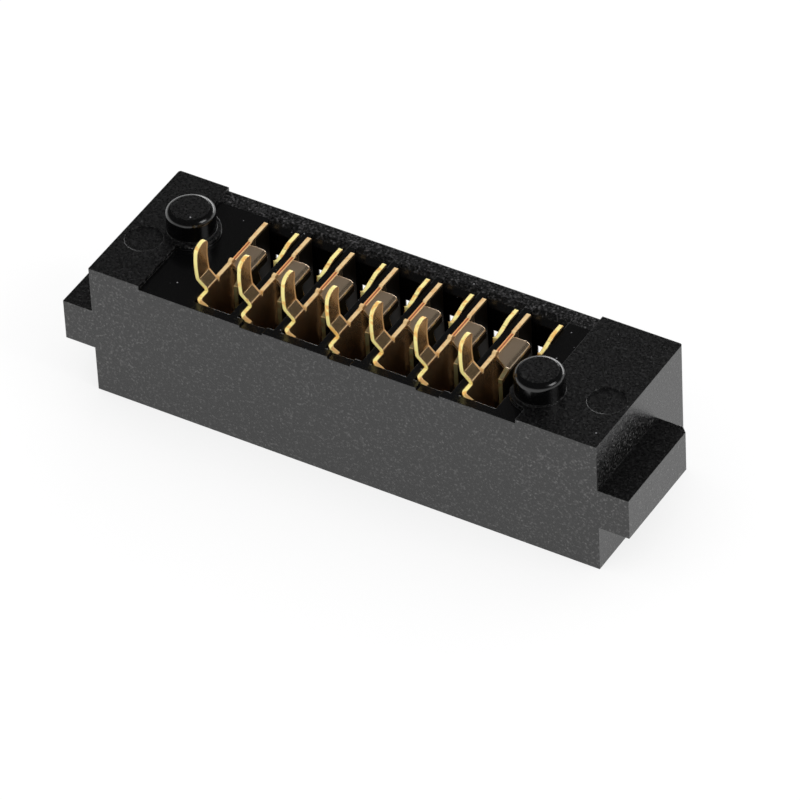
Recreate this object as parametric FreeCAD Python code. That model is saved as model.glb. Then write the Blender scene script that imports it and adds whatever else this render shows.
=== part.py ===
import FreeCAD, Part
import math
import os

# Battery connector: a moulded housing that carries a row of folded sheet contacts.
# X runs along the length, Y from the front face to the back, Z up from the underside.
# The origin is the middle of the underside. Lengths are in millimetres.

# Housing block
body_length = 28.7
body_depth = 8.6
body_height = 7.85
corner_radius = 0.15

# The middle of the top lies a little lower than the pads at its two ends
recess_drop = 0.25
left_pad_edge = -11.45
right_pad_edge = 9.9

# Ears at the two ends, level with the front face
ear_reach = 1.7
ear_depth = 6.0
ear_thickness = 2.4
ear_drop = 2.75
ear_break = 0.3

# Locating pegs, each across the edge of its pad, with a foot that is level with the pad
peg_radius = 1.27
peg_height = 1.3
peg_round = 0.35
peg_foot_step = 0.2
left_peg_from_front = 5.05
right_peg_from_front = 2.42

# Shallow round marks of the mould's ejector pins
mark_radius = 0.98
mark_depth = 0.06
mark_from_front = 3.25
mark_from_end = 1.22

# Row of contacts
contact_count = 7
pitch = 2.5
sheet = 0.23
bend_radius = 0.25
wall_clearance = 0.02

# Pockets that hold the contacts
front_wall = 0.5
back_wall = 1.23
pocket_floor = 1.2
lead_in_run = 0.5
lead_in_drop = 0.5

# Shallow notches across the front rim, at every second contact
rim_notch_width = 1.3
rim_notch_depth = 0.12

# Slots in the back wall, where the blades of the mating half come in
slot_width = 0.42
slot_height = 4.2
slot_above_floor = 0.3
slot_lead_in = 0.75
slot_lead_in_depth = 1.15

# Left wall of a contact, the long one, which carries the solder tail
plate_spacing = 1.81
end_clearance = 0.23
plate_proud = 0.2
flange_length = 0.55
flange_dip = 0.25
shoulder_drop = 0.15
shoulder_length = 0.82
tail_root_drop = 0.2
tail_notch_width = 0.15
nib_length = 0.25
nib_height = 0.12
nib_from_end = 3.23
bare_edge_length = 1.5
bare_edge_drop = 0.08
bare_edge_from_end = 1.58

# Solder tail, a tongue that leans out to the left and then stands up with a slight bow.
# The path is its middle line, in (x, z) from the wall's middle plane and the contact's top.
tail_width = 0.95
tail_height = 2.45
tail_tip_round = 0.44
tail_path = [(0, -0.35), (0, -0.05), (-0.48, 0.42), (-0.57, 1.5), (-0.41, 2.5)]
tail_bends = [0.2, 0.2, 5.5]

# Bridge over the blade gap, longer on its right side
bridge_span = 0.99
bridge_left_length = 1.72
bridge_right_length = 2.34
bridge_drop = 0.1
bridge_back_round = 0.1

# Right wall, which hangs from the bridge and flares a little at its front end
right_wall_length = 4.76
right_wall_end_length = 2.0
right_wall_jog = 0.45
right_wall_lift = 0.5
front_edge_fall = 0.06
front_flare = 0.12
relief_depth = 1.6
end_edge_level = 0.84
end_edge_dip = 0.35

front = -body_depth / 2
recess_level = body_height - recess_drop
pocket_front = front + front_wall
pocket_back = front + body_depth - back_wall
half_sheet = sheet / 2
contact_top = recess_level + plate_proud
contact_floor = pocket_floor
flange_line = pocket_front + wall_clearance + half_sheet
plate_end = pocket_back - end_clearance
over = 1.0


def vec(x, y, z):
    return FreeCAD.Vector(x, y, z)


def block(x0, x1, y0, y1, z0, z1):
    """Box between two corners."""
    return Part.makeBox(x1 - x0, y1 - y0, z1 - z0, vec(x0, y0, z0))


def prism(points, travel):
    """Closed polygon pushed along a vector."""
    outline = Part.makePolygon(points + [points[0]])
    return Part.Face(outline).extrude(travel)


def side_prism(outline, x0, x1):
    """Outline of (y, z) points pushed along X from x0 to x1."""
    return prism([vec(x0, y, z) for y, z in outline], vec(x1 - x0, 0, 0))


def front_prism(outline, y0, y1):
    """Outline of (x, z) points pushed along Y from y0 to y1."""
    return prism([vec(x, y0, z) for x, z in outline], vec(0, y1 - y0, 0))


def contact_centres():
    first = -pitch * (contact_count - 1) / 2
    return [first + pitch * i for i in range(contact_count)]


def left_wall_x(centre):
    """Middle plane of a contact's left wall."""
    return centre - plate_spacing / 2


def edges_at(shape, x=None, y=None, z=None):
    """Edges whose two ends both lie at the coordinates that are given."""
    found = []
    for edge in shape.Edges:
        ends = [v.Point for v in edge.Vertexes]
        at_x = x is None or all(abs(p.x - x) < 1e-6 for p in ends)
        at_y = y is None or all(abs(p.y - y) < 1e-6 for p in ends)
        at_z = z is None or all(abs(p.z - z) < 1e-6 for p in ends)
        if at_x and at_y and at_z:
            found.append(edge)
    return found


def bent_strip(points, place, radii=None):
    """Face of sheet that follows a polyline of (u, v) points, with rounded bends."""
    radii = radii or [bend_radius] * (len(points) - 2)
    flat = [FreeCAD.Vector(u, v, 0) for u, v in points]
    up = FreeCAD.Vector(0, 0, 1)
    legs = [(b - a).normalize() for a, b in zip(flat, flat[1:])]
    starts = [flat[0]]
    ends = []
    bends = []
    for corner, arriving, leaving, radius in zip(flat[1:], legs, legs[1:], radii):
        turn = arriving.getAngle(leaving)
        trim = radius * math.tan(turn / 2)
        side = 1 if arriving.cross(leaving).z > 0 else -1
        inward = (leaving - arriving).normalize()
        middle = corner + inward * (radius / math.cos(turn / 2))
        ends.append(corner - arriving * trim)
        starts.append(corner + leaving * trim)
        bends.append((middle, inward, side, radius))
    ends.append(flat[-1])

    def rail(side):
        edges = []
        for i, leg in enumerate(legs):
            shift = up.cross(leg) * (side * half_sheet)
            a, b = starts[i] + shift, ends[i] + shift
            edges.append(Part.LineSegment(place(a), place(b)).toShape())
            if i < len(bends):
                middle, inward, bend_side, radius = bends[i]
                reach = radius - side * bend_side * half_sheet
                next_shift = up.cross(legs[i + 1]) * (side * half_sheet)
                top = middle - inward * reach
                arc = Part.Arc(place(b), place(top), place(starts[i + 1] + next_shift))
                edges.append(arc.toShape())
        return edges

    def cap(point, leg):
        shift = up.cross(leg) * half_sheet
        return Part.LineSegment(place(point + shift), place(point - shift)).toShape()

    edges = rail(1) + rail(-1) + [cap(starts[0], legs[0]), cap(ends[-1], legs[-1])]
    wires = Part.Wire(Part.__sortEdges__(edges))
    return Part.Face(wires)


def plan_strip(points, z0, z1):
    """Upright sheet that follows (x, y) points, from z0 to z1."""
    face = bent_strip(points, lambda p: vec(p.x, p.y, z0))
    return face.extrude(vec(0, 0, z1 - z0))


def section_strip(points, y0, y1, radii=None):
    """Sheet that follows (x, z) points, from y0 to y1."""
    face = bent_strip(points, lambda p: vec(p.x, y0, p.y), radii)
    return face.extrude(vec(0, y1 - y0, 0))


def ear(side):
    """Flat ear at one end, whose outer corner at the back is broken."""
    inner = side * (body_length / 2 - over)
    outer = side * (body_length / 2 + ear_reach)
    top = body_height - ear_drop
    back = front + ear_depth
    solid = block(min(inner, outer), max(inner, outer), front, back, top - ear_thickness, top)
    return solid.makeChamfer(ear_break, edges_at(solid, x=outer, y=back))


def housing_block():
    """Block with its two ears and the step in its top, before anything is cut from it."""
    half = body_length / 2
    back = front + body_depth
    body = block(-half, half, front, back, 0, body_height)
    corners = edges_at(body, x=-half, y=back) + edges_at(body, x=half, y=back)
    body = body.makeFillet(corner_radius, corners)
    body = body.fuse([ear(-1), ear(1)])
    recess = block(left_pad_edge, right_pad_edge, front - over, back + over,
                   recess_level, body_height + over)
    return body.cut(recess)


def peg(x, from_front):
    """Round post with a rounded rim, on a foot that fills the step beside its pad."""
    foot_base = vec(x, front + from_front, recess_level)
    foot = Part.makeCylinder(peg_radius + peg_foot_step, recess_drop, foot_base)
    base = vec(x, front + from_front, body_height)
    post = Part.makeCylinder(peg_radius, peg_height, base)
    rim = [e for e in post.Edges if len(e.Vertexes) == 1
           and e.Vertexes[0].Point.z > base.z + peg_height / 2]
    return foot.fuse(post.makeFillet(peg_round, rim))


def ejector_mark(x):
    base = vec(x, front + mark_from_front, body_height - mark_depth)
    return Part.makeCylinder(mark_radius, mark_depth + over, base)


def pocket(centre):
    """Well for one contact, with a sloped lead-in at its back."""
    half = plate_spacing / 2 + half_sheet + wall_clearance
    low_back = recess_level - lead_in_drop
    outline = [(pocket_front, pocket_floor),
               (pocket_back, pocket_floor),
               (pocket_back, low_back),
               (pocket_back + lead_in_run, recess_level),
               (pocket_back + lead_in_run, recess_level + over),
               (pocket_front, recess_level + over)]
    return side_prism(outline, centre - half, centre + half)


def blade_slot(centre):
    """Slot through the back wall, in line with the blade gap, with a flared mouth."""
    middle = left_wall_x(centre) + bridge_span / 2
    half = slot_width / 2
    z0 = pocket_floor + slot_above_floor
    z1 = z0 + slot_height
    back = front + body_depth
    slot = block(middle - half, middle + half, pocket_back - over, back + over, z0, z1)

    def ring(grow, y):
        corners = [(-half - grow, z0 - grow), (half + grow, z0 - grow),
                   (half + grow, z1 + grow), (-half - grow, z1 + grow)]
        points = [vec(middle + x, y, z) for x, z in corners]
        return Part.makePolygon(points + [points[0]])

    inner, outer = ring(0, back - slot_lead_in_depth), ring(slot_lead_in, back)
    mouth = Part.makeLoft([inner, outer], True)
    return slot.fuse(mouth)


def rim_notch(centre):
    """Shallow cut across the front rim, from the front face into the pocket."""
    half = rim_notch_width / 2
    return block(centre - half, centre + half, front - over, pocket_front + over,
                 recess_level - rim_notch_depth, recess_level + over)


def housing():
    body = housing_block()
    body = body.fuse([peg(left_pad_edge, left_peg_from_front),
                      peg(right_pad_edge, right_peg_from_front)])
    end = body_length / 2 - mark_from_end
    cuts = [ejector_mark(-end), ejector_mark(end)]
    for i, centre in enumerate(contact_centres()):
        cuts.append(pocket(centre))
        cuts.append(blade_slot(centre))
        if i % 2 == 1:
            cuts.append(rim_notch(centre))
    return body.cut(cuts).removeSplitter()


def left_wall(x):
    """Long wall with its front flange, cut to the stepped outline of its top edge."""
    z1 = contact_top + nib_height
    sheet_path = [(x + flange_length, flange_line), (x, flange_line), (x, plate_end)]
    wall = plan_strip(sheet_path, contact_floor, z1)
    shoulder = contact_top - shoulder_drop
    tail_front = flange_line + shoulder_length
    tail_back = tail_front + tail_width
    tail_root = contact_top - tail_root_drop
    nib_end = plate_end - nib_from_end
    bare_back = plate_end - bare_edge_from_end
    bare_front = bare_back - bare_edge_length
    bare_top = contact_top - bare_edge_drop
    low = contact_floor - over
    outline = [(flange_line - sheet, low),
               (flange_line - sheet, shoulder),
               (tail_front, shoulder),
               (tail_front, tail_root),
               (tail_back + tail_notch_width / 2, tail_root),
               (tail_back + tail_notch_width, contact_top),
               (nib_end - nib_length, contact_top),
               (nib_end - nib_length * 0.6, z1),
               (nib_end, z1),
               (bare_front, bare_top),
               (bare_back, bare_top),
               (bare_back + bare_edge_drop, contact_top),
               (plate_end + over, contact_top),
               (plate_end + over, low)]
    wall = wall.common(side_prism(outline, x - over, x + plate_spacing))
    slope = [(x + half_sheet, shoulder),
             (x + flange_length, shoulder - flange_dip),
             (x + flange_length + over, shoulder - flange_dip),
             (x + flange_length + over, z1 + over),
             (x + half_sheet, z1 + over)]
    return wall.cut(front_prism(slope, flange_line - sheet, tail_front))


def solder_tail(x):
    """Tongue above the left wall, whose outline seen from the side ends in a round tip."""
    y0 = flange_line + shoulder_length
    y1 = y0 + tail_width
    path = [(x + dx, contact_top + dz) for dx, dz in tail_path]
    tongue = section_strip(path, y0, y1, tail_bends)
    tip = contact_top + tail_height
    outline = block(x - over, x + over, y0, y1, contact_floor, tip)
    tip_edges = edges_at(outline, y=y0, z=tip) + edges_at(outline, y=y1, z=tip)
    return tongue.common(outline.makeFillet(tail_tip_round, tip_edges))


def bridge_back():
    return plate_end - bare_edge_from_end - bare_edge_drop


def bridge_front(across):
    """Where the bridge's slanting front edge lies, at a distance right of the left wall."""
    share = (across - half_sheet) / bridge_span
    return bridge_back() - bridge_left_length - share * (bridge_right_length - bridge_left_length)


def bridge(x):
    """Cross strap that folds from the left wall's bare edge over to the right wall."""
    back = bridge_back()
    level = contact_top - bridge_drop - half_sheet
    foot = level - bend_radius * 2
    path = [(x, foot), (x, level), (x + bridge_span, level), (x + bridge_span, foot)]
    strap = section_strip(path, back - bridge_right_length, back)
    rounded = [e for e in edges_at(strap, y=back)
               if max(v.Point.z for v in e.Vertexes) > level + half_sheet / 2
               and min(v.Point.x for v in e.Vertexes) > x + bridge_span / 2]
    strap = strap.makeFillet(bridge_back_round, rounded)
    far = bridge_span + half_sheet
    corner = [vec(x - over, bridge_front(-over), foot - over),
              vec(x + far + over, bridge_front(far + over), foot - over),
              vec(x - over, bridge_front(far + over), foot - over)]
    return strap.cut(prism(corner, vec(0, 0, over * 3)))


def right_wall(x):
    """Wall that hangs from the bridge and steps outward to the pocket's right side."""
    inner_x, outer_x = x + bridge_span, x + plate_spacing
    jog_end = plate_end - right_wall_end_length
    jog_start = jog_end - right_wall_jog
    wall_front = plate_end - right_wall_length
    z0 = contact_floor + right_wall_lift
    flare_start = bridge_front(bridge_span)
    path = [(inner_x + front_flare, wall_front), (inner_x, flare_start),
            (inner_x, jog_start), (outer_x, jog_end), (outer_x, plate_end)]
    wall = plan_strip(path, z0, contact_top)
    top = contact_top - bridge_drop
    under_bridge = top - half_sheet - bend_radius
    fold_front = bridge_front(bridge_span - half_sheet)
    relief = top - relief_depth
    low = z0 - over
    outline = [(wall_front - over, low),
               (wall_front - over, top - front_edge_fall * 2),
               (fold_front, top),
               (fold_front, under_bridge),
               (jog_start - right_wall_jog / 2, under_bridge),
               (jog_start, relief),
               (jog_end, relief),
               (jog_end, contact_top - end_edge_dip),
               (plate_end - end_edge_level, contact_top),
               (plate_end, contact_top),
               (plate_end, low)]
    return wall.common(side_prism(outline, x - over, outer_x + over))


def contact(centre):
    x = left_wall_x(centre)
    solid = left_wall(x).fuse([solder_tail(x), bridge(x), right_wall(x)])
    return solid.removeSplitter()


def save(shape, node):
    solids = shape.Solids
    if len(solids) == 1:
        shape = solids[0]
    shape.exportStep("parts/" + node + ".step")
    print(node, "solids", len(solids), "valid", shape.isValid(), "volume", round(shape.Volume, 3))


def main():
    os.makedirs("parts", exist_ok=True)
    save(housing(), "housing")
    for i, centre in enumerate(contact_centres()):
        save(contact(centre), "contact_%d" % (i + 1))


main()
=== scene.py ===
import math

import bpy
from mathutils import Matrix, Vector

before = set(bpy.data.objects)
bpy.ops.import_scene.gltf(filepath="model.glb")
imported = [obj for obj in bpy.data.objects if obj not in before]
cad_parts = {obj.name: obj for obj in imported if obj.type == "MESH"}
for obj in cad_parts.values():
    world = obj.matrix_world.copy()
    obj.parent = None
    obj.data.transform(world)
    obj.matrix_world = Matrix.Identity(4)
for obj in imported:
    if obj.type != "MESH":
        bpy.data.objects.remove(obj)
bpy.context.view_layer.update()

# Lengths written with MM are in metres, and so are the floor and the lamps. Places on the part are
# in its own frame and in millimetres. Colours are linear and angles are in degrees.
MM = 0.001

# The photograph's camera
CAMERA_AZIMUTH = 32.41
CAMERA_ELEVATION = 41.02
CAMERA_ROLL = -3.08
CAMERA_DISTANCE = 376.6 * MM
CAMERA_LENS_MM = 343.3
CAMERA_AIM = Vector((0.69, 0.0, 2.02)) * MM
CAMERA_NEAR = 10 * MM
CAMERA_FAR = 10

# Floor and light. A lamp is its azimuth from +X, elevation, distance, width, height and radiance.
WHITE = (1, 1, 1, 1)
FLOOR_SIZE = 2.4
FLOOR_COLOUR = (0.93, 0.93, 0.93, 1)
FLOOR_GLOW = 0.75
SKY_STRENGTH = 1.05
SKY_CEILING = 0.045
SKY_HORIZON = 1.0
SKY_FADE = (0.05, 0.3)
BACK_STRIP = (92, 9, 0.6, 0.6, 0.15, 3.6)
RIGHT_BOX = (4, 40, 0.5, 0.2, 0.2, 4.0)

# Width over which a look fades at the limits of its place, to each side, in millimetres
SOFT_LIMIT = 0.02
POLISHED_SOFT = 0.004
LIP_SOFT = 0.01

# Places on the housing
RECESS_X = (-11.45, 9.9)
RECESS_Z = (0.1, 7.7)
SMOOTH_Y = (-4.29, 3.35)
BACK_RIM_Y = (3.35, 4.29)
POLISHED_Z = (7.95, 9.142)

# Places on a contact. ACROSS is measured to the right from the middle of its left wall.
PITCH = 2.5
FIRST_WALL_X = -8.405
BRIDGE_ACROSS = (0.115, 1.12)
BRIDGE_Y = (-0.47, 2.2)
BRIDGE_Z = (7.0, 7.75)
BRIDGE_SLANT = 0.626
WALL_EDGE_ACROSS = (-0.3, 0.2)
WALL_EDGE_Y = (-1.9, 3.0)
BARE_ACROSS = (-1.0, 0.07)
BARE_Y = (-0.24, 1.26)
BARE_Z = (7.7, 7.78)
BROKEN_ACROSS = (-0.05, 0.04)
ROOT_Y = (-2.86, -1.87)
ROOT_Z = (7.3, 7.75)
LIP_Y = (-2.0, -1.8)
LIP_Z = (7.75, 10.4)
OUTSIDE_ACROSS = (1.05, 1.3)
OUTSIDE_Z = (5.0, 7.45)
BEHIND_Y = (1.6, 3.0)
BEHIND_Z = (0.0, 7.68)
FLARE_ACROSS = (0.75, 1.3)
FLARE_Y = (-2.1, -0.6)
FLARE_Z = (0.0, 7.75)

# Ranges of the surface normal's upward or sideways share over which a look sets in
PLASTIC_UPWARD = (0.4, 0.6)
EDGE_SIDEWAYS = (0.45, 0.62)
BORDER_SIDEWAYS = (0.2, 0.55)
ROOT_UPWARD = (0.6, 0.8)
BRUSHED_UPWARD = (0.85, 0.98)
OUTSIDE_RIGHTWARD = (0.85, 0.95)

# Ranges of a noise over which a look sets in
MOTTLE_NOISE = (0.54, 0.74)
DUST_NOISE = (0.745, 0.78)
BLOTCH_NOISE = (0.5, 0.62)
ROUGHNESS_NOISE = (0.35, 0.65)

# Black glass-filled moulding: mottled outside, smooth in the recess and pockets, polished on the pegs
SMOOTH_COLOUR = (0.0008, 0.0008, 0.0009, 1)
MOTTLED_DARK = (0.001, 0.001, 0.0011, 1)
MOTTLED_PALE = (0.027, 0.027, 0.0275, 1)
# Pale grain on the sides, much paler than on the top: real grain with painted reflection laid over it
SIDE_GRAIN_AND_PAINTED_LIGHT = (0.13, 0.128, 0.126, 1)
RIM_PALE = (0.13, 0.126, 0.13, 1)
DUST = (0.28, 0.28, 0.29, 1)
SMOOTH_ROUGHNESS = 0.2
MOTTLED_ROUGHNESS = (0.24, 0.4)
POLISHED_ROUGHNESS = 0.17
PLASTIC_IOR = 1.6
GRAIN_PER_MM = 8.0
DUST_PER_MM = 3.5
PLASTIC_BUMP = 0.012 * MM
PLASTIC_EDGE = 0.05 * MM

# Gilt sheet: smooth faces, paler cut edges, and bare copper where the plating is gone
GILT_FACE = (0.8, 0.55, 0.3, 1)
# Paler gilt on the bridge: painted reflection of the light above it
GILT_BRIDGE_PAINTED_REFLECTION = (0.78, 0.6, 0.42, 1)
# Warmer, brighter gilt on the upward-facing root of the tail: painted highlight
GILT_ROOT_PAINTED_HIGHLIGHT = (0.95, 0.6, 0.27, 1)
GILT_EDGE = (1.0, 0.88, 0.34, 1)
GILT_BLOTCH = (0.95, 0.55, 0.15, 1)
GILT_BORDER = (0.62, 0.3, 0.07, 1)
GILT_WALL_EDGE = (0.76, 0.46, 0.19, 1)
GILT_WALL_PALE = (0.84, 0.6, 0.3, 1)
COPPER = (0.92, 0.42, 0.13, 1)
DEEP_COPPER = (0.36, 0.1, 0.04, 1)
# Near-black gilt where shade is painted: behind the bridge, outside the right wall and on the flare
PAINTED_SHADE_GILT = (0.02, 0.014, 0.008, 1)
FACE_ROUGHNESS = (0.12, 0.2)
BRIDGE_ROUGHNESS = 0.4
EDGE_ROUGHNESS = 0.5
PAINTED_SHADE_ROUGHNESS = 0.6
FACE_METALLIC = 0.96
EDGE_METALLIC = 0.2
ROOT_SHARE = 0.35
LIP_SHARE = 0.6
FLARE_SHADE = 0.85
STREAKS_PER_MM = 3.0
BLOTCH_PER_MM = 2.2
GILT_EDGE_RADIUS = 0.07 * MM


class Graph:
    """Adds shader nodes to one material or world, and links them."""

    def __init__(self, owner):
        owner.use_nodes = True
        self.tree = owner.node_tree
        self.tree.nodes.clear()

    def feed(self, socket, value):
        """Link a socket to another node's output, or give it a plain value."""
        if isinstance(value, bpy.types.NodeSocket):
            self.tree.links.new(value, socket)
        else:
            socket.default_value = value

    def add(self, kind, inputs=None, **settings):
        """New node of a kind, with its settings made and its inputs fed."""
        node = self.tree.nodes.new(kind)
        for name, value in settings.items():
            setattr(node, name, value)
        for name, value in (inputs or {}).items():
            self.feed(node.inputs[name], value)
        return node

    def math(self, operation, a, b=0.0, c=0.0):
        return self.add("ShaderNodeMath", {0: a, 1: b, 2: c}, operation=operation).outputs[0]

    def both(self, *masks):
        """Product of the masks."""
        product = masks[0]
        for mask in masks[1:]:
            product = self.math("MULTIPLY", product, mask)
        return product

    def either(self, *masks):
        """Largest of the masks."""
        largest = masks[0]
        for mask in masks[1:]:
            largest = self.math("MAXIMUM", largest, mask)
        return largest

    def without(self, mask, other):
        """The mask where the other one is zero."""
        return self.both(mask, self.math("SUBTRACT", 1.0, other))

    def spread(self, value, low, high, to_low=0.0, to_high=1.0):
        """Value stretched from one range to another, and held inside it."""
        node = self.add("ShaderNodeMapRange", {"Value": value, "From Min": low, "From Max": high,
                                               "To Min": to_low, "To Max": to_high})
        return node.outputs["Result"]

    def inside(self, value, low, high, soft=SOFT_LIMIT):
        """One where the value lies between two limits, zero elsewhere."""
        above = self.spread(value, low - soft, low + soft)
        below = self.spread(value, high - soft, high + soft, 1.0, 0.0)
        return self.both(above, below)

    def blend(self, share, a, b):
        """Number between a, at share zero, and b, at share one."""
        return self.add("ShaderNodeMix", {0: share, 2: a, 3: b}).outputs[0]

    def mix(self, share, a, b):
        """Colour between a, at share zero, and b, at share one."""
        return self.add("ShaderNodeMix", {0: share, 6: a, 7: b}, data_type="RGBA").outputs[2]

    def millimetres(self):
        """Position in the part's own frame, in millimetres."""
        coords = self.add("ShaderNodeTexCoord").outputs["Object"]
        scale = (1 / MM, 1 / MM, 1 / MM)
        return self.add("ShaderNodeMapping", {"Vector": coords, "Scale": scale}).outputs[0]

    def split(self, vector):
        """The x, y and z of a vector."""
        return self.add("ShaderNodeSeparateXYZ", {0: vector}).outputs[:3]

    def noise(self, place, scale, detail=4.0, roughness=0.6):
        node = self.add("ShaderNodeTexNoise", {"Vector": place, "Scale": scale, "Detail": detail,
                                               "Roughness": roughness})
        return node.outputs["Fac"]

    def soft_edges(self, radius):
        """Normal that rounds the sharp edges a little."""
        return self.add("ShaderNodeBevel", {"Radius": radius}, samples=6).outputs[0]

    def surface(self, shader, kind="ShaderNodeOutputMaterial"):
        self.add(kind, {"Surface": shader})


def mottled_colour(graph, grain, rim, normal):
    """Dark moulding with pale grains, paler along the back rim, and with painted light making the grains
    paler on its sides.
    """
    upward = graph.spread(graph.split(normal)[2], *PLASTIC_UPWARD)
    # Faces that do not face up get the paler side grain, which is painted light
    pale = graph.mix(upward, SIDE_GRAIN_AND_PAINTED_LIGHT, graph.mix(rim, MOTTLED_PALE, RIM_PALE))
    return graph.mix(graph.spread(grain, *MOTTLE_NOISE), MOTTLED_DARK, pale)


def plastic_material():
    """Black moulding, mottled on its outside, smooth in the recess and polished on the pegs."""
    material = bpy.data.materials.new("black_plastic")
    graph = Graph(material)
    place = graph.millimetres()
    x, y, z = graph.split(place)
    middle = graph.both(graph.inside(x, *RECESS_X), graph.inside(z, *RECESS_Z))
    smooth = graph.both(middle, graph.inside(y, *SMOOTH_Y))
    rim = graph.both(middle, graph.inside(y, *BACK_RIM_Y))
    polished = graph.inside(z, *POLISHED_Z, POLISHED_SOFT)
    grain = graph.noise(place, GRAIN_PER_MM, detail=3.0, roughness=0.7)
    specks = graph.spread(graph.noise(place, DUST_PER_MM, detail=2.0), *DUST_NOISE)
    normal = graph.soft_edges(PLASTIC_EDGE)
    colour = graph.mix(smooth, mottled_colour(graph, grain, rim, normal), SMOOTH_COLOUR)
    colour = graph.mix(specks, colour, DUST)
    colour = graph.mix(polished, colour, SMOOTH_COLOUR)
    roughness = graph.spread(grain, *ROUGHNESS_NOISE, *MOTTLED_ROUGHNESS)
    roughness = graph.blend(smooth, roughness, SMOOTH_ROUGHNESS)
    roughness = graph.blend(polished, roughness, POLISHED_ROUGHNESS)
    bump = graph.add("ShaderNodeBump", {
        "Height": graph.without(grain, graph.either(smooth, polished)),
        "Distance": PLASTIC_BUMP,
        "Strength": 1.0,
        "Normal": normal})
    shader = graph.add("ShaderNodeBsdfPrincipled", {
        "Base Color": colour,
        "Roughness": roughness,
        "IOR": PLASTIC_IOR,
        "Normal": bump.outputs["Normal"]})
    graph.surface(shader.outputs[0])
    return material


class Sheet:
    """Where the shaded point lies on its contact, and which way the surface faces there."""

    def __init__(self, graph):
        self.graph = graph
        self.place = graph.millimetres()
        x, self.y, self.z = graph.split(self.place)
        from_first = graph.math("SUBTRACT", x, FIRST_WALL_X - PITCH / 2)
        self.across = graph.math("SUBTRACT", graph.math("MODULO", from_first, PITCH), PITCH / 2)
        self.normal = graph.soft_edges(GILT_EDGE_RADIUS)
        self.rightward, _, self.upward = graph.split(self.normal)
        self.sideways = graph.math("ABSOLUTE", self.rightward)

    def bridge(self):
        """The bridge over the top, whose front edge slants."""
        graph = self.graph
        slanted = graph.math("MULTIPLY_ADD", self.across, BRIDGE_SLANT, self.y)
        plan = graph.both(graph.inside(self.across, *BRIDGE_ACROSS), graph.inside(slanted, *BRIDGE_Y))
        return graph.both(plan, graph.inside(self.z, *BRIDGE_Z))

    def root(self):
        """The bent foot of the solder tail, seen from above; it takes a painted highlight."""
        graph = self.graph
        return graph.both(graph.inside(self.y, *ROOT_Y), graph.spread(self.upward, *ROOT_UPWARD),
                          graph.inside(self.z, *ROOT_Z))

    def cut_edge(self, bridge, root):
        """The cut edges: what faces neither left nor right, apart from the bridge and the root."""
        graph = self.graph
        edge = graph.spread(self.sideways, *EDGE_SIDEWAYS, 1.0, 0.0)
        return graph.without(graph.without(edge, bridge), root)

    def lip(self):
        """The back border of the solder tail, which is nearly as pale as the cut edges."""
        graph = self.graph
        return graph.both(graph.inside(self.y, *LIP_Y, LIP_SOFT), graph.inside(self.z, *LIP_Z))

    def painted_shade(self, edge):
        """Painted shade that makes the sheet nearly black: outside the right wall, behind the bridge and
        on the flare.
        """
        graph = self.graph
        outside = graph.both(graph.inside(self.across, *OUTSIDE_ACROSS), graph.inside(self.z, *OUTSIDE_Z),
                             graph.spread(self.rightward, *OUTSIDE_RIGHTWARD))
        behind = graph.both(graph.inside(self.y, *BEHIND_Y), graph.inside(self.z, *BEHIND_Z))
        flare = graph.both(graph.inside(self.across, *FLARE_ACROSS), graph.inside(self.y, *FLARE_Y),
                           edge, graph.inside(self.z, *FLARE_Z))
        return graph.either(outside, behind, graph.both(flare, FLARE_SHADE))

    def bare(self):
        """The upper edge of the left wall, where the plating is gone."""
        graph = self.graph
        return graph.both(graph.inside(self.y, *BARE_Y), graph.inside(self.across, *BARE_ACROSS),
                          graph.inside(self.z, *BARE_Z))


def face_colour(graph, bridge, root):
    """Gilt of the faces, with a painted reflection making it paler on the bridge and a painted highlight
    making it warmer at the root of the tail.
    """
    colour = graph.mix(bridge, GILT_FACE, GILT_BRIDGE_PAINTED_REFLECTION)
    return graph.mix(root, colour, GILT_ROOT_PAINTED_HIGHLIGHT)


def edge_colour(graph, sheet):
    """Gilt of the cut edges, blotched, with bare copper on the wall and a darker border."""
    blotch = graph.spread(graph.noise(sheet.place, BLOTCH_PER_MM, detail=2.0), *BLOTCH_NOISE)
    wall_edge = graph.both(graph.inside(sheet.across, *WALL_EDGE_ACROSS),
                           graph.inside(sheet.y, *WALL_EDGE_Y))
    colour = graph.mix(blotch, GILT_EDGE, GILT_BLOTCH)
    colour = graph.mix(wall_edge, colour, graph.mix(blotch, GILT_WALL_PALE, GILT_WALL_EDGE))
    copper = graph.mix(graph.inside(sheet.across, *BROKEN_ACROSS), COPPER, DEEP_COPPER)
    colour = graph.mix(sheet.bare(), colour, copper)
    return graph.mix(graph.spread(sheet.sideways, *BORDER_SIDEWAYS), colour, GILT_BORDER)


def face_roughness(graph, sheet, bridge, root):
    """Streaked gloss of the faces, rougher where the sheet is brushed."""
    streaks = graph.noise(sheet.place, STREAKS_PER_MM, detail=5.0)
    roughness = graph.spread(streaks, *ROUGHNESS_NOISE, *FACE_ROUGHNESS)
    brushed = graph.both(graph.either(bridge, root), graph.spread(sheet.upward, *BRUSHED_UPWARD))
    return graph.blend(brushed, roughness, BRIDGE_ROUGHNESS)


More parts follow.
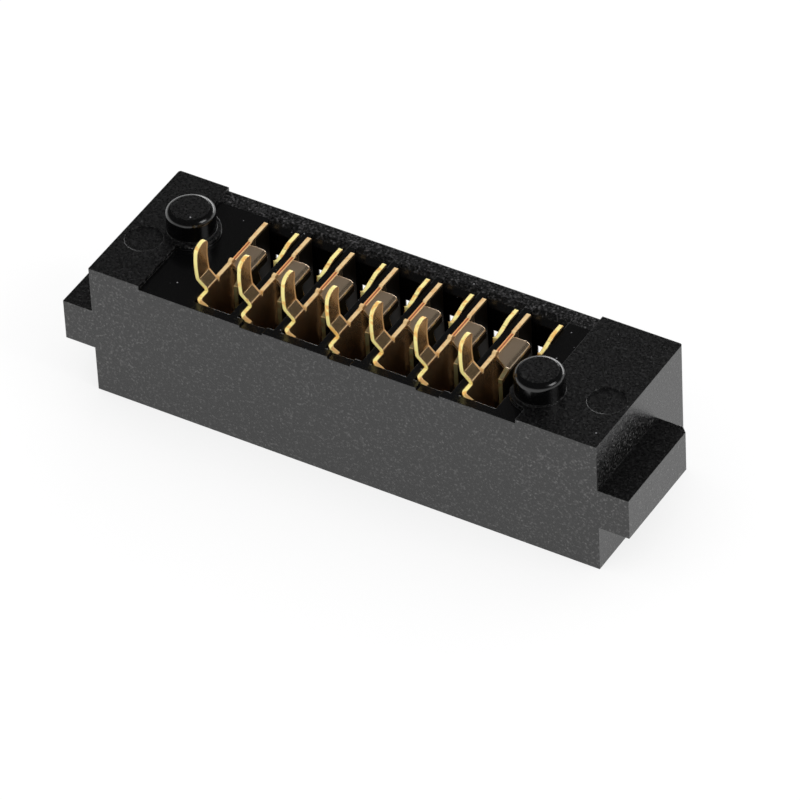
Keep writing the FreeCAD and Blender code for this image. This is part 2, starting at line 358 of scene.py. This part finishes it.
def gilt_material():
    """Gold-plated sheet with smooth faces and paler, rougher cut edges."""
    material = bpy.data.materials.new("gilt_metal")
    graph = Graph(material)
    sheet = Sheet(graph)
    bridge = sheet.bridge()
    root = sheet.root()
    cut_edge = sheet.cut_edge(bridge, root)
    # Painted shade: the sheet turns near-black behind the bridge, outside the right wall and, less fully,
    # on the flare
    painted_shade = sheet.painted_shade(cut_edge)
    edge = graph.either(cut_edge, graph.both(sheet.lip(), LIP_SHARE))
    # The root is made partly matte, which brightens its painted highlight
    matte = graph.either(edge, graph.both(root, ROOT_SHARE))
    colour = graph.mix(edge, face_colour(graph, bridge, root), edge_colour(graph, sheet))
    roughness = graph.blend(edge, face_roughness(graph, sheet, bridge, root), EDGE_ROUGHNESS)
    shader = graph.add("ShaderNodeBsdfPrincipled", {
        "Base Color": graph.mix(painted_shade, colour, PAINTED_SHADE_GILT),
        "Metallic": graph.spread(matte, 0.0, 1.0, FACE_METALLIC, EDGE_METALLIC),
        "Roughness": graph.blend(painted_shade, roughness, PAINTED_SHADE_ROUGHNESS),
        "Normal": sheet.normal})
    graph.surface(shader.outputs[0])
    return material


def dress(node, material):
    """Give a carried-over node its material in every slot."""
    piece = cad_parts[node]
    if not piece.material_slots:
        piece.data.materials.append(material)
    for slot in piece.material_slots:
        slot.material = material


def seen_rays(graph):
    """One for rays that come from the camera, from gloss or through clear matter."""
    path = graph.add("ShaderNodeLightPath").outputs
    return graph.either(path["Is Camera Ray"], path["Is Glossy Ray"], path["Is Transmission Ray"])


def floor():
    """Pale table, which looks nearly white and keeps a faint shadow."""
    material = bpy.data.materials.new("pale_floor")
    graph = Graph(material)
    matte = graph.add("ShaderNodeBsdfDiffuse", {"Color": FLOOR_COLOUR})
    glow = graph.add("ShaderNodeEmission", {"Color": WHITE, "Strength": 1.0})
    share = graph.both(seen_rays(graph), FLOOR_GLOW)
    shader = graph.add("ShaderNodeMixShader", {0: share, 1: matte.outputs[0], 2: glow.outputs[0]})
    graph.surface(shader.outputs[0])
    bpy.ops.mesh.primitive_plane_add(size=FLOOR_SIZE)
    plane = bpy.context.object
    plane.name = "floor"
    plane.data.materials.append(material)


def sky():
    """Even soft light, which gloss sees as a white horizon under a dark ceiling."""
    world = bpy.data.worlds.new("studio")
    graph = Graph(world)
    path = graph.add("ShaderNodeLightPath").outputs
    direction = graph.add("ShaderNodeTexCoord").outputs["Generated"]
    height = graph.split(direction)[2]
    ceiling = graph.spread(height, *SKY_FADE, SKY_HORIZON, SKY_CEILING)
    level = graph.blend(path["Is Glossy Ray"], SKY_STRENGTH, ceiling)
    light = graph.add("ShaderNodeBackground", {"Color": WHITE, "Strength": level})
    graph.surface(light.outputs[0], "ShaderNodeOutputWorld")
    bpy.context.scene.world = world


def soft_lamp(name, azimuth, elevation, distance, width, height, radiance):
    """Rectangular lamp that faces the middle of the part's underside."""
    light = bpy.data.lights.new(name, "AREA")
    light.shape = "RECTANGLE"
    light.size = width
    light.size_y = height
    light.energy = radiance * math.pi * width * height
    holder = bpy.data.objects.new(name, light)
    turn = Matrix.Rotation(math.radians(azimuth + 90), 4, "Z")
    tilt = Matrix.Rotation(math.radians(90 - elevation), 4, "X")
    holder.matrix_world = turn @ tilt @ Matrix.Translation((0, 0, distance))
    bpy.context.collection.objects.link(holder)


def camera():
    """Camera that stands and looks as the photograph's did."""
    lens = bpy.data.cameras.new("camera")
    lens.lens = CAMERA_LENS_MM
    lens.clip_start = CAMERA_NEAR
    lens.clip_end = CAMERA_FAR
    holder = bpy.data.objects.new("camera", lens)
    turn = Matrix.Rotation(math.radians(CAMERA_AZIMUTH), 4, "Z")
    tilt = Matrix.Rotation(math.radians(90 - CAMERA_ELEVATION), 4, "X")
    roll = Matrix.Rotation(math.radians(CAMERA_ROLL), 4, "Z")
    back = Matrix.Translation((0, 0, CAMERA_DISTANCE))
    holder.matrix_world = Matrix.Translation(CAMERA_AIM) @ turn @ tilt @ roll @ back
    bpy.context.collection.objects.link(holder)
    bpy.context.scene.camera = holder


plastic = plastic_material()
gilt = gilt_material()
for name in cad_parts:
    dress(name, plastic if name == "housing" else gilt)
floor()
sky()
soft_lamp("back_strip", *BACK_STRIP)
soft_lamp("right_box", *RIGHT_BOX)
camera()
bpy.context.scene.view_settings.view_transform = "Standard"
